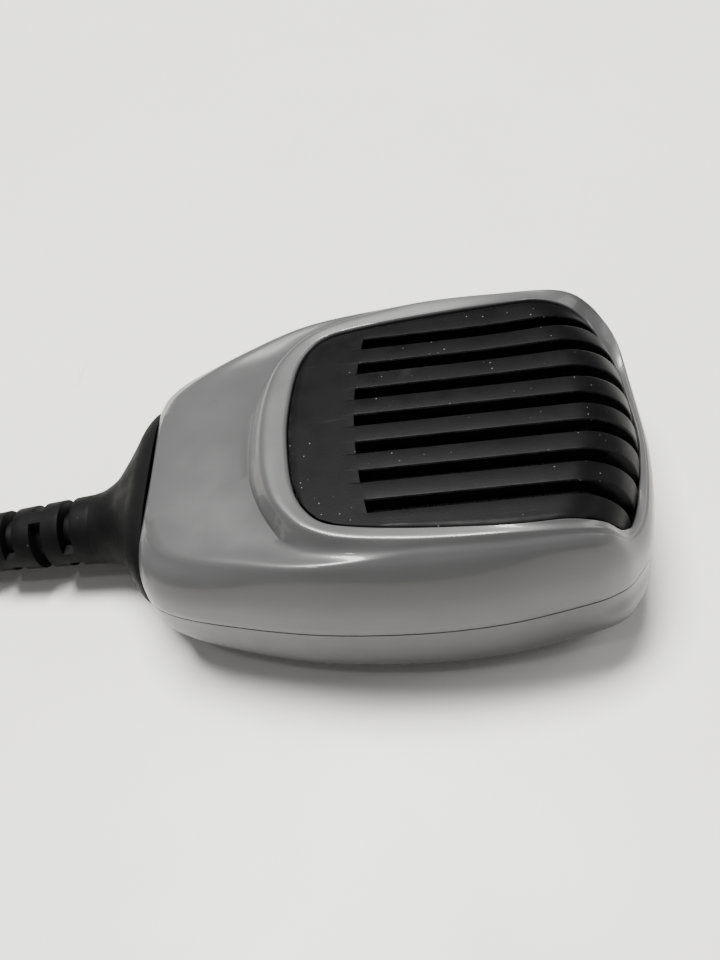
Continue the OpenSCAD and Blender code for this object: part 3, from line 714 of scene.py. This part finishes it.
rear_outer = [rear_ring(0.02, 13.7), rear_ring(0.0, 11.5), rear_ring(0.0, 9, r_bulge),
              rear_ring(0.1, 6.4, r_bulge), rear_ring(0.55, 4.5), rear_ring(1.5, 2.9),
              rear_ring(2.9, 1.6), rear_ring(4.6, 0.7), rear_ring(6.6, 0.12), rear_ring(8.4, 0.0)]
rear_rings = [rear_ring(1.9, 14.9), rear_ring(TONGUE + 0.05, 14.9), rear_ring(TONGUE + 0.05, 13.95),
              rear_ring(0.14, 13.95), rear_ring(0.03, 13.86)]
rear_rings += list(smooth_open(rear_outer, RINGS_BETWEEN))
rear_rings += [rear_disc(share, 0) for share in (0.85, 0.68, 0.5, 0.32, 0.12)]
rear_rings += [rear_disc(share, 2.0) for share in (0.12, 0.4, 0.7, 0.95)]
rear_rings += [rear_ring(6.6, 2.3), rear_ring(4.4, 3.4), rear_ring(2.8, 5.6), rear_ring(2.0, 9.0)]
rear = loft("rear_shell", rear_rings, tunnel=True, sharp=SHELL_CREASE)


def fuller_corner(obj, rim=None):
    """Fills out the head's far upper corner. With rim, a share for each of the shell's rings, the
    rim of the far side moves out and up as well, and most at the head."""
    for i, v in enumerate(obj.data.vertices):
        x, y, z = v.co / MM
        corner = ease(x, 13, 36) * ease(y, 0, 22) * ease(z, 14.3, 20)
        edge = rim[i // len(r_seam)] * ease(y, 8, 20) * ease(z, 18, 22) if rim else 0.0
        along = ease(x, -14, 10)
        head = ease(x, 18, 34)
        v.co += Vector((2.2 * corner + 0.8 * edge * head, corner + edge * along,
                        0.4 * corner + edge * (0.3 * along + 1.1 * head))) * MM


UP_TO_RIDGE, FADE_RINGS = 28, 6     # rings below the ridge, and rings over which the share fades
fuller_corner(front, [1.0] * UP_TO_RIDGE + [max(0.0, 1 - k / FADE_RINGS) for k in
                                            range(1, len(front_rings) - UP_TO_RIDGE + 1)])

# ------------------------------------------------------------------ openings in the case
LEVER_X, LEVER_Z = (-14.0, 18.0), (7.5, 20.5)
GAP = 0.4
SCREWS = [(-27, -14), (-27, 14), (23, -21.4), (23, 21.4)]
SCREW_HEAD_R = 2.4
HANGER_X, DISH_R, DISH_DEPTH = 15.0, 10.5, 4.5


def window(name):
    return block(name, (LEVER_X[0] - GAP, 23.4, LEVER_Z[0] - GAP),
                 (LEVER_X[1] + GAP, 34, LEVER_Z[1] + GAP), radius=2.2, axis=1, segs=6)


cut(front, [window("cut_a")])
cut(rear, [window("cut_b"), cylinder("cut_c", HANGER_X, 0, DISH_R + 0.3, -2, 8, 96)]
    + [cylinder("cut_s", x, y, SCREW_HEAD_R, -2, back_z(x) + 4.2) for x, y in SCREWS])
mark_sharp(front, SHELL_CREASE)
mark_sharp(rear, SHELL_CREASE)
piece(front, M_CASE, stands_for=["front_case"])
piece(rear, M_REAR_SHADED, stands_for=["rear_case"])

dish = revolve("hanger_dish", [
    (2.75, DISH_DEPTH), (DISH_R - 1.6, DISH_DEPTH), (DISH_R - 0.6, DISH_DEPTH - 0.35),
    (DISH_R - 0.1, DISH_DEPTH - 1.2), (DISH_R, 0.6), (DISH_R + 0.12, 0.12),
    (DISH_R + 0.28, 0.02), (DISH_R + 0.29, 2.0), (DISH_R + 1.4, 2.05),
    (DISH_R + 1.4, DISH_DEPTH + 0.6), (DISH_R - 1, DISH_DEPTH + 1.5),
    (2.75, DISH_DEPTH + 1.5)], (HANGER_X, 0), 96)
piece(dish, M_REAR_SHADED)
bosses = []
for x, y in SCREWS:
    z = back_z(x)
    bosses.append(revolve("boss", [(1.35, z + 3.0), (2.38, z + 3.0), (2.38, z + 1.6),
                                   (2.9, z + 1.6), (2.9, 12.9), (1.35, 12.9)], (x, y), 32))
piece(joined("screw_bosses", bosses), M_REAR_SHADED)

# ------------------------------------------------------------------ grille
PITCH, SLOT_W, SLOTS = 5.4, 2.1, 7
GRILLE_T = 2.4
EDGE_GAP = 0.4                      # from the opening's edge to the grille
ROLL_ARC, ROLL_TURN = 15.2, 84      # the roll's length along its surface, and its angle in degrees
SLOT_DROP = 0.2                     # how far a slot's rounded edges lie below the face
BORDER_DROP = 0.14                  # how far the panel's outer edge does
# Places on the middle line: x up to the roll, then on along the arc of the roll.
GRILLE_U = [-5.0, -4.86, -4.5, -2, 2, 6, 10, 14, 18, 21, 24, 26]
GRILLE_U += list(np.linspace(ROLL_X, ROLL_X + ROLL_ARC, 17))


def bow(u):
    """How far a line across the grille bows, per square of the distance from its middle."""
    return float(np.interp(u, [-5, 3, 14, 24], [0.0056, 0.003, -0.007, -ROLL_BOW]))


def middle_line(u):
    """The place (x, z) and the outward direction (x, z) at u on the grille's middle line."""
    if u <= ROLL_X:
        return np.array([u, FACE_Z]), np.array([0.0, 1.0])
    a = min((u - ROLL_X) / ROLL_ARC, 1.0) * math.radians(ROLL_TURN)
    p = np.array([ROLL_X + (ROLL_L - EDGE_GAP + 0.25) * math.sin(a),
                  HEAD_Z + (FACE_Z - HEAD_Z) * math.cos(a)])
    return p, unit(np.array([math.sin(a) / ROLL_L, math.cos(a) / (FACE_Z - HEAD_Z)]))


def grille_columns():
    """Each column's place across the grille, its share of the way from there to the edge, its drop
    below the face, and its side of a slot: 1 or 2, or 0 for none."""
    half_w = SLOT_W / 2
    slots = []
    for k in range(SLOTS):
        c = (k - (SLOTS - 1) / 2) * PITCH
        slots += [(c - half_w - 0.45, 0, 0.0, 0), (c - half_w - 0.16, 0, 0.03, 0),
                  (c - half_w, 0, SLOT_DROP, 1), (c + half_w, 0, SLOT_DROP, 2),
                  (c + half_w + 0.16, 0, 0.03, 0), (c + half_w + 0.45, 0, 0.0, 0)]
    last = slots[-1][0]
    shares = (0.35, 0.75, 0.93, 1.0)
    return ([(-last, share, 0.0, 0) for share in shares[::-1]] + slots
            + [(last, share, 0.0, 0) for share in shares])


def slotted_rows(columns):
    """Rows of points over the slots and the roll, with each row's outward direction."""
    edge = ring_of(opening, 8)
    edge = edge[edge[:, 1] >= -1e-9]
    edge = edge[np.argsort(edge[:, 0])]
    rows, normals = [], []
    for u in GRILLE_U:
        p, n = middle_line(u)
        x_edge = min(p[0] + bow(u) * 400, 35.0)     # the row's x about 20 mm from its middle
        y_edge = float(np.interp(x_edge, edge[:, 0], edge[:, 1])) - EDGE_GAP
        row = []
        for y, share, drop, side_of_slot in columns:
            y = math.copysign(abs(y) + (y_edge - abs(y)) * share, y)
            row.append(np.array([p[0] + bow(u) * y * y, y, p[1]]))
        rows.append(row)
        normals.append(np.array([n[0], 0.0, n[1]]))
    return rows, normals


def tail_rows(first):
    """The solid plate from the opening's rounded tail edge to the first slotted row: a patch
    between that row, the tail's arc and the two ends of the arc, blended from its four sides."""
    arc = ring_of(opening, 12)
    arc = arc[arc[:, 0] < -4.5]
    arc = arc[np.argsort([math.atan2(q[1], -(q[0] - 4)) for q in arc])]
    middle = np.array([6.0, 0.0])
    arc = np.array([q + unit(middle - q) * EDGE_GAP for q in arc])
    length = np.r_[0, np.cumsum(np.linalg.norm(np.diff(arc, axis=0), axis=1))]

    def on_arc(share):
        return np.array([np.interp(share * length[-1], length, arc[:, k]) for k in range(2)])

    end = 0.235                                     # the share of the arc along each side
    base = [np.array(q[:2]) for q in first]
    y = np.array([q[1] for q in first])
    across = (y - y[0]) / (y[-1] - y[0])
    corner_lo, corner_hi = on_arc(end), on_arc(1 - end)
    rows = []
    for t in (0.0, 0.12, 0.3, 0.5, 0.7, 0.85, 0.95):
        side_lo, side_hi = on_arc(end * (1 - t)), on_arc(1 - end * (1 - t))
        row = []
        for v, m in zip(across, base):
            tail = on_arc(end + (1 - 2 * end) * v)
            p = (1 - t) * tail + t * m + (1 - v) * side_lo + v * side_hi
            p = p - ((1 - t) * (1 - v) * corner_lo + (1 - t) * v * corner_hi
                     + t * (1 - v) * base[0] + t * v * base[-1])
            row.append(np.array([p[0], p[1], FACE_Z]))
        rows.append(row)
    return rows


def build_grille():
    columns = grille_columns()
    slotted, normals = slotted_rows(columns)
    tail = tail_rows(slotted[0])
    rows = tail + slotted
    normals = [np.array([0.0, 0.0, 1.0])] * len(tail) + normals
    first_slot = len(tail)
    m, n = len(rows), len(columns)
    verts, faces, index = [], [], {}

    def vert(i, j, depth):
        k = (i, j, round(depth, 3))
        if k not in index:
            index[k] = len(verts)
            verts.append(rows[i][j] - normals[i] * depth)
        return index[k]

    def top(i, j):
        drop = columns[j][2] if i > first_slot else 0.0
        border = BORDER_DROP if (i in (0, m - 1) or j in (0, n - 1)) else 0.0
        return vert(i, j, max(drop, border))

    def under(i, j):
        return vert(i, j, GRILLE_T)

    def is_solid(i, j):
        inside = 0 <= i < m - 1 and 0 <= j < n - 1
        return inside and not (i >= first_slot and (columns[j][3], columns[j + 1][3]) == (1, 2))

    for i in range(m - 1):
        for j in range(n - 1):
            if not is_solid(i, j):
                continue
            faces.append((top(i, j), top(i + 1, j), top(i + 1, j + 1), top(i, j + 1)))
            faces.append((under(i, j), under(i, j + 1), under(i + 1, j + 1), under(i + 1, j)))
            for di, dj, a, b in ((0, -1, (i, j), (i + 1, j)), (0, 1, (i + 1, j + 1), (i, j + 1)),
                                 (-1, 0, (i, j + 1), (i, j)), (1, 0, (i + 1, j), (i + 1, j + 1))):
                if not is_solid(i + di, j + dj):
                    faces.append((top(*a), under(*a), under(*b), top(*b)))
    return make_object("grille_panel", verts, faces, 40)


panel = build_grille()
fuller_corner(panel)
piece(panel, M_GRILLE, stands_for=["grille"])

# ------------------------------------------------------------------ boot and strain relief
TAIL_X = -38.45
FLARE_SIDES = 72


def boot_flare():
    """Each station: distance behind the tail, half width, half height, middle's height, and the
    power of its superellipse."""
    stations = [[0, 17.3, 8.8, 12.9, 3.1], [1.3, 16.9, 8.6, 12.7, 3], [2.8, 15.2, 8.2, 12.3, 2.9],
                [4.3, 12.6, 7.6, 11.5, 2.7], [6, 9.9, 7, 10.7, 2.4], [8, 7.6, 6.4, 9.6, 2.2],
                [10.6, 6.4, 6, 8.7, 2], [12.6, 5.9, 5.9, 8.3, 2]]
    rings = []
    for d, w, h, z, q in smooth_open(stations, 5):
        ring = []
        for j in range(FLARE_SIDES):
            a = 2 * math.pi * j / FLARE_SIDES
            c, s = math.cos(a), math.sin(a)
            ring.append([TAIL_X - d, w * math.copysign(abs(c) ** (2 / q), c),
                         z + h * math.copysign(abs(s) ** (2 / q), s)])
        rings.append(ring)
    return loft("flare", rings, sharp=CREASE)


# The strain relief is drawn upright, and this lays it along the cord behind the case.
LAID_DOWN = (Matrix.Translation(Vector((-0.039, 0, 0.009)))
             @ Matrix.Rotation(math.radians(-90 - 3.31), 4, "Y"))
RELIEF_FROM, RELIEF_TO = 11.5, 38.1
BORE_R = 2.46
CUTS, FIRST_CUT, CUT_PITCH, CUT_H = 4, 15.1, 5.2, 2.15
CUT_HALF_ANGLE, CUT_R_IN, CUT_R_OUT = 77, 3.3, 7.2


def relief_r(s):
    return 5.85 + (4.6 - 5.85) * (s - 12) / (RELIEF_TO - 12)


def relief():
    """A tapering sleeve with pairs of cuts in it, every second pair turned by a quarter."""
    outline = [(BORE_R, RELIEF_FROM), (relief_r(RELIEF_FROM), RELIEF_FROM)]
    outline += [(relief_r(s), s) for s in np.linspace(RELIEF_FROM + 1, RELIEF_TO - 1.0, 14)]
    outline += [(relief_r(RELIEF_TO) - 0.12, RELIEF_TO - 0.35),
                (relief_r(RELIEF_TO) - 0.5, RELIEF_TO), (BORE_R, RELIEF_TO)]
    body = revolve("boot_relief", outline, (0, 0), 64)
    tools = []
    for i in range(CUTS):
        z = FIRST_CUT + i * CUT_PITCH
        for turn in (0, 180):
            angles = np.radians(np.linspace(-CUT_HALF_ANGLE, CUT_HALF_ANGLE, 23)
                                + turn + 90 * (i % 2))
            ring = [(CUT_R_OUT * math.cos(a), CUT_R_OUT * math.sin(a)) for a in angles]
            ring += [(CUT_R_IN * math.cos(a), CUT_R_IN * math.sin(a)) for a in angles[::-1]]
            tools.append(loft("slot", [[[x, y, z + h] for x, y in ring] for h in (0, CUT_H)]))
    cut(body, tools)
    bevel(body, 0.22, 2, 40)
    body.data.transform(LAID_DOWN)
    return body


neck = block("neck", (-39.5, -4, 11.9), (-35.2, 4, 16), 0.8, axis=0)
piece(joined("boot_flare", [boot_flare(), neck]), M_BOOT, stands_for=["cord_boot"])
piece(relief(), M_BOOT)
inner_path = smooth_open(lead_route[:RELIEF_END + 1], 4)
piece(tube("inner_cable", inner_path, CABLE_R, 20), M_CORD)

# ------------------------------------------------------------------ transmit lever
far_side = r_seam[r_seam[:, 1] > 20]
far_side = far_side[np.argsort(far_side[:, 0])]
LEVER_CORNER_R = 2.0
LEVER_T = 2.0                       # from the seam's level inward
LEVER_SUNK, LEVER_DOME, GRIP_H = 0.52, 0.62, 0.22
GRIP_X, GRIP_PITCH = 9, 2.4


def seam_y(x):
    return float(np.interp(x, far_side[:, 0], far_side[:, 1]))


def lever_place(u, v):
    """Where (u, v) of a unit square goes on the lever's rounded rectangle, as (x, z)."""
    (x0, x1), (z0, z1), rc = LEVER_X, LEVER_Z, LEVER_CORNER_R
    x = x0 + (x1 - x0) * u
    z = z0 + (z1 - z0) * v
    dx = max(0.0, rc - (x - x0), rc - (x1 - x))
    dz = max(0.0, rc - (z - z0), rc - (z1 - z))
    if dx > 0 and dz > 0:
        k = max(dx, dz) / math.hypot(dx, dz)
        cx = x0 + rc if x - x0 < rc else x1 - rc
        cz = z0 + rc if z - z0 < rc else z1 - rc
        x, z = cx + (x - cx) * k, cz + (z - cz) * k
    return x, z


def lever_y(x, z):
    """The lever's outer face: a low dome with a ribbed grip over the switch."""
    edge = min(x - LEVER_X[0], LEVER_X[1] - x, z - LEVER_Z[0], LEVER_Z[1] - z)
    dome = LEVER_DOME * (1 - max(0.0, 1 - edge / 1.6) ** 2)
    zone = math.exp(-((x - GRIP_X) / 6.5) ** 8)
    across = max(0.0, 1 - (abs(z - SEAM_Z) / 4.9) ** 6)
    ribs = (0.5 + 0.5 * math.cos(2 * math.pi * (x - GRIP_X) / GRIP_PITCH)) ** 2
    return seam_y(x) - LEVER_SUNK + dome + GRIP_H * ribs * zone * across


def lever_plate():
    us = [0, 0.012, 0.035, 0.08] + list(np.linspace(0.13, 0.87, 27)) + [0.92, 0.965, 0.988, 1]
    vs = [0, 0.03, 0.08, 0.16] + list(np.linspace(0.24, 0.76, 9)) + [0.84, 0.92, 0.97, 1]
    places = [lever_place(u, v) for u in us for v in vs]
    verts = [[x, lever_y(x, z), z] for x, z in places]
    verts += [[x, seam_y(x) - LEVER_T, z] for x, z in places]
    n, m = len(us), len(vs)
    k = n * m
    faces = []
    for i in range(n - 1):
        for j in range(m - 1):
            a, b, c, d = i * m + j, i * m + j + 1, (i + 1) * m + j + 1, (i + 1) * m + j
            faces.append((a, b, c, d))
            faces.append((k + a, k + d, k + c, k + b))
    rim = [i * m for i in range(n)] + [(n - 1) * m + j for j in range(1, m)]
    rim += [i * m + m - 1 for i in range(n - 2, -1, -1)] + [j for j in range(m - 2, 0, -1)]
    for a, b in zip(rim, rim[1:] + rim[:1]):
        faces.append((a, b, k + b, k + a))
    return make_object("plate", verts, faces, 45)


barrel = revolve("barrel", [(1.05, 7.6), (2.2, 7.6), (2.2, 20.4), (1.05, 20.4)], (-11, 22.4), 40)
arm = block("arm", (-12.4, 24.3, 7.8), (-9.6, 26.6, 20.2), 0.4, axis=2)
pad = block("pad", (13, 21.9, 11), (15, 27, 17), 0.4, axis=1)
lever = joined("transmit_lever", [lever_plate(), barrel, arm, pad])
piece(lever, M_LEVER, body="lever", stands_for=["ptt_lever"])

# The return spring behind the lever, which on the real microphone closes up as the lever is
# pressed; here it is drawn at rest, with a mesh of its own.
SPRING_X, SPRING_Y, SPRING_R, SPRING_WIRE_R = 2, 20.3, 2, 0.25
SPRING_LENGTH, SPRING_TURNS, SPRING_STEPS = 6, 5, 120
coils = []
for i, a in enumerate(np.linspace(0, 2 * math.pi * SPRING_TURNS, SPRING_STEPS + 1)):
    coils.append([SPRING_X + SPRING_R * math.cos(a), SPRING_Y + SPRING_LENGTH * i / SPRING_STEPS,
                  SEAM_Z + SPRING_R * math.sin(a)])
spring = tube("return_spring", coils, SPRING_WIRE_R, 10)
piece(spring, M_SPRING, stands_for=["ptt_spring"])
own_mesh(spring)

# ------------------------------------------------------------------ floor and light
bm = bmesh.new()
bmesh.ops.create_grid(bm, x_segments=8, y_segments=8, size=1.6)
floor_mesh = bpy.data.meshes.new("floor")
bm.to_mesh(floor_mesh)
bm.free()
floor = bpy.data.objects.new("floor", floor_mesh)
bpy.context.scene.collection.objects.link(floor)
floor.location.z = -0.00005         # just clear of the pieces that lie on it
dress(floor, M_FLOOR)

world = bpy.data.worlds.new("world")
bpy.context.scene.world = world
world.use_nodes = True
sky = world.node_tree.nodes["Background"]
sky.inputs["Color"].default_value = (1.0, 0.99, 0.975, 1)
sky.inputs["Strength"].default_value = 0.24


def area(name, place, size, size_y, power, colour):
    """A rectangular light, sizes in metres and power in watts, that faces the origin."""
    data = bpy.data.lights.new(name, "AREA")
    data.shape = "RECTANGLE"
    data.size = size
    data.size_y = size_y
    data.energy = power
    data.color = colour
    obj = bpy.data.objects.new(name, data)
    obj.location = place
    obj.rotation_euler = (-Vector(place)).to_track_quat("-Z", "Y").to_euler()
    bpy.context.scene.collection.objects.link(obj)


area("ceiling", (-0.2, 0.42, 1.45), 0.85, 0.42, 76, (1.0, 0.99, 0.97))
area("side", (1.1, 0.15, 0.75), 0.7, 0.7, 6, (1.0, 0.995, 0.98))
area("lamp", (-0.45, -0.25, 1.1), 0.08, 0.025, 1.0, (0.98, 0.99, 1.0))
